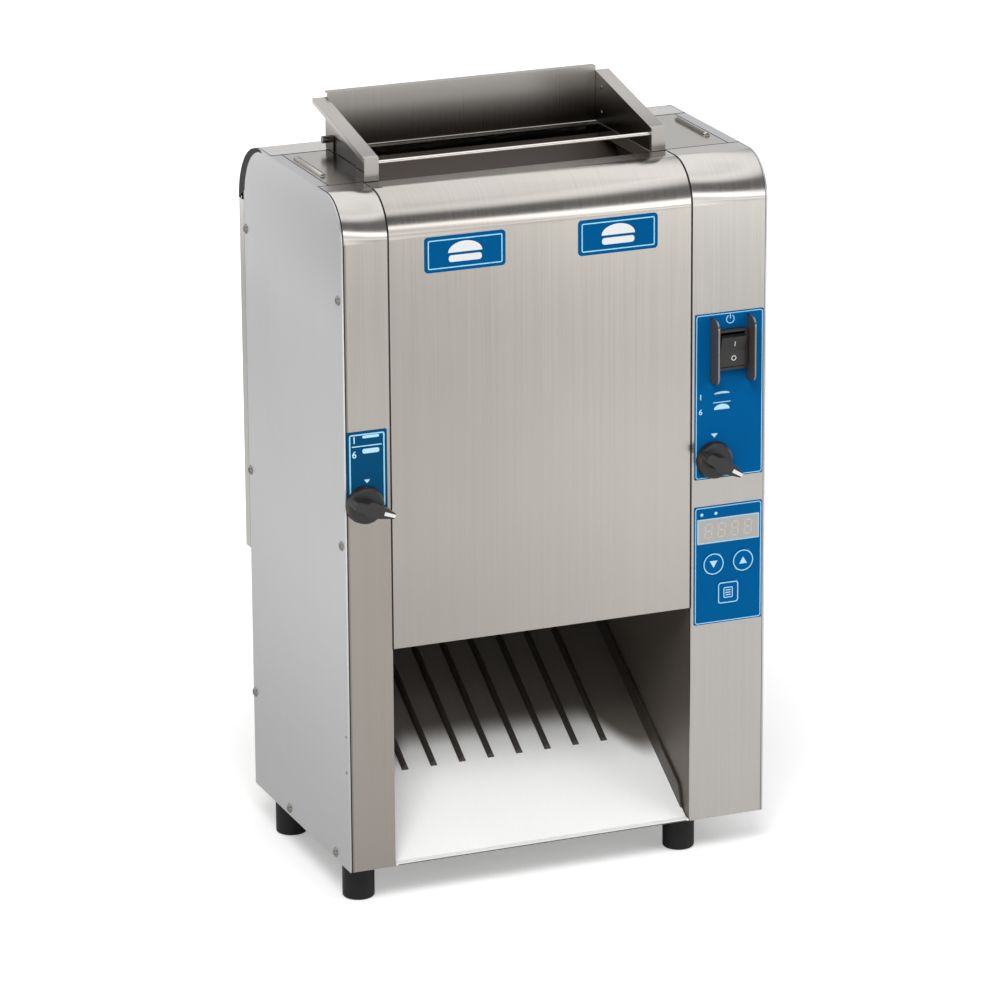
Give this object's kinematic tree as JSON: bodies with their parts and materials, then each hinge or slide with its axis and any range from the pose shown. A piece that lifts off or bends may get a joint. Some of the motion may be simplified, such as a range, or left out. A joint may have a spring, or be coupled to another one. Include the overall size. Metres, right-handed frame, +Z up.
{
  "type": "vertical contact toaster",
  "caption": "Upright countertop bun toaster with a top hopper, heated platen between two belt conveyors, ribbed discharge chute, compression knobs and keypad control.",
  "frame": {"origin": "under the middle of the part, on the plane of the feet", "axes": "+Z up, -Y towards the front with the cover and the controls, +X towards the control housing"},
  "size_m": [0.3636, 0.252, 0.6258],
  "materials": {
    "steel": "brushed stainless",
    "steel_side": "fine brushed stainless",
    "steel_bright": "polished stainless",
    "steel_dark": "bare bent sheet",
    "screws": "bright",
    "foot_rubber": "matt",
    "blue_print": "satin printed film",
    "key_print": "satin printed film",
    "display_film": "smoked film",
    "black_plastic": "fine grained",
    "grey_plastic": "plain",
    "board": "solder resist",
    "platen_alloy": "cast",
    "rod_sheath": "heat stained",
    "release_film": "coated glass cloth",
    "belt": "silicone",
    "bronze": "sintered",
    "gear": "machined",
    "motor": "satin",
    "ceramic": "glazed"
  },
  "bodies": {
    "cabinet": {"base_pan": "steel", "left_inner_wall": "steel", "right_inner_wall": "steel", "left_side_panel": "steel_side", "right_side_panel": "steel_side", "left_column": "steel", "control_front": "steel", "rear_cover": "steel", "lower_back_panel": "steel", "top_plate_left": "steel", "top_plate_right": "steel", "panel_screws": "screws", "feet": "foot_rubber", "left_overlay": "blue_print", "upper_overlay": "blue_print", "lower_overlay": "blue_print", "display_window": "display_film", "display_module": "grey_plastic", "control_board": "board", "switch_body": "black_plastic", "switch_guard": "steel_dark", "platen": "platen_alloy", "heating_rods": "rod_sheath", "release_sheet": "release_film", "front_feed_guide": "steel", "rear_feed_guide": "steel", "shaft_bushes": "bronze", "gearmotor": "motor", "terminal_block": "ceramic", "fan_frame": "black_plastic", "power_inlet": "black_plastic"},
    "front_cover": {"front_cover": "steel", "cover_labels": "blue_print"},
    "chute": {"chute": "steel_bright"},
    "hopper": {"hopper_left_side": "steel_dark", "hopper_right_side": "steel_dark", "hopper_back": "steel_dark", "hopper_rod": "steel_bright"},
    "key_down": {"key_down": "key_print"},
    "key_up": {"key_up": "key_print"},
    "key_program": {"key_program": "key_print"},
    "rocker": {"rocker": "black_plastic"},
    "left_knob": {"left_knob": "black_plastic", "left_knob_shaft": "steel_dark"},
    "right_knob": {"right_knob": "black_plastic", "right_knob_shaft": "steel_dark"},
    "front_conveyor": {"front_conveyor_frame": "steel_dark", "front_belt": "belt"},
    "rear_conveyor": {"rear_conveyor_frame": "steel_dark", "rear_belt": "belt"},
    "front_drive": {"front_drive_roller": "steel_dark", "front_drive_gear": "gear"},
    "rear_drive": {"rear_drive_roller": "steel_dark", "rear_drive_gear": "gear"},
    "front_idler_roller": {"front_idler_roller": "steel_dark"},
    "rear_idler_roller": {"rear_idler_roller": "steel_dark"},
    "front_idler_gear": {"front_idler_gear": "gear"},
    "rear_idler_gear": {"rear_idler_gear": "gear"},
    "motor_pinion": {"motor_pinion": "gear"},
    "fan_rotor": {"fan_rotor": "grey_plastic"}
  },
  "joints": [
    {"name": "front_cover_pull", "type": "slide", "parent": "cabinet", "child": "front_cover", "axis": [0, -1, 0], "range_m": [0, 0.06]},
    {"name": "chute_pull", "type": "slide", "parent": "cabinet", "child": "chute", "axis": [0, -1, 0], "range_m": [0, 0.1]},
    {"name": "hopper_lift", "type": "slide", "parent": "cabinet", "child": "hopper", "axis": [0, 0, 1], "range_m": [0, 0.08]},
    {"name": "key_down_press", "type": "slide", "parent": "cabinet", "child": "key_down", "axis": [0, 1, 0], "range_m": [0, 0.0004], "stiffness_N_per_m": 800},
    {"name": "key_up_press", "type": "slide", "parent": "cabinet", "child": "key_up", "axis": [0, 1, 0], "range_m": [0, 0.0004], "stiffness_N_per_m": 800},
    {"name": "key_program_press", "type": "slide", "parent": "cabinet", "child": "key_program", "axis": [0, 1, 0], "range_m": [0, 0.0004], "stiffness_N_per_m": 800},
    {"name": "rocker_tilt", "type": "hinge", "parent": "cabinet", "child": "rocker", "pos_m": [0.1475, -0.1076, 0.427], "axis": [-1, 0, 0], "range_deg": [0, 16]},
    {"name": "left_knob_turn", "type": "hinge", "parent": "cabinet", "child": "left_knob", "pos_m": [-0.164, -0.107, 0.336], "axis": [0, 1, 0], "range_deg": [-100, 150]},
    {"name": "right_knob_turn", "type": "hinge", "parent": "cabinet", "child": "right_knob", "pos_m": [0.134, -0.107, 0.336], "axis": [0, 1, 0], "range_deg": [-100, 150]},
    {"name": "front_conveyor_swing", "type": "hinge", "parent": "cabinet", "child": "front_conveyor", "pos_m": [-0.01325, -0.05525, 0.25], "axis": [-1, 0, 0], "range_deg": [-0.48, 0.72]},
    {"name": "rear_conveyor_swing", "type": "hinge", "parent": "cabinet", "child": "rear_conveyor", "pos_m": [-0.01325, 0.05725, 0.25], "axis": [1, 0, 0], "range_deg": [-0.48, 0.72]},
    {"name": "front_drive_spin", "type": "hinge", "parent": "cabinet", "child": "front_drive", "pos_m": [-0.01325, -0.05525, 0.25], "axis": [1, 0, 0], "continuous": true},
    {"name": "rear_drive_spin", "type": "hinge", "parent": "cabinet", "child": "rear_drive", "pos_m": [-0.01325, 0.05725, 0.25], "axis": [1, 0, 0], "continuous": true},
    {"name": "front_idler_gear_spin", "type": "hinge", "parent": "cabinet", "child": "front_idler_gear", "pos_m": [0.12, -0.01775, 0.25], "axis": [1, 0, 0], "continuous": true},
    {"name": "rear_idler_gear_spin", "type": "hinge", "parent": "cabinet", "child": "rear_idler_gear", "pos_m": [0.12, 0.01975, 0.25], "axis": [1, 0, 0], "continuous": true},
    {"name": "motor_pinion_spin", "type": "hinge", "parent": "cabinet", "child": "motor_pinion", "pos_m": [0.12, 0.01975, 0.2125], "axis": [1, 0, 0], "continuous": true},
    {"name": "front_idler_spin", "type": "hinge", "parent": "front_conveyor", "child": "front_idler_roller", "pos_m": [-0.01325, -0.05525, 0.525], "axis": [1, 0, 0], "continuous": true},
    {"name": "rear_idler_spin", "type": "hinge", "parent": "rear_conveyor", "child": "rear_idler_roller", "pos_m": [-0.01325, 0.05725, 0.525], "axis": [1, 0, 0], "continuous": true},
    {"name": "fan_rotor_spin", "type": "hinge", "parent": "cabinet", "child": "fan_rotor", "pos_m": [0.1475, 0.10375, 0.135], "axis": [0, 1, 0], "continuous": true}
  ],
  "couplings": [
    {"joint": "rear_drive_spin", "follows": "front_drive_spin", "ratio": -1},
    {"joint": "front_idler_gear_spin", "follows": "front_drive_spin", "ratio": -1},
    {"joint": "rear_idler_gear_spin", "follows": "front_drive_spin", "ratio": 1},
    {"joint": "motor_pinion_spin", "follows": "front_drive_spin", "ratio": -1},
    {"joint": "front_idler_spin", "follows": "front_drive_spin", "ratio": 1},
    {"joint": "rear_idler_spin", "follows": "front_drive_spin", "ratio": -1},
    {"joint": "right_knob_turn", "follows": "front_conveyor_swing", "ratio": 208.46},
    {"joint": "left_knob_turn", "follows": "rear_conveyor_swing", "ratio": 208.46}
  ]
}
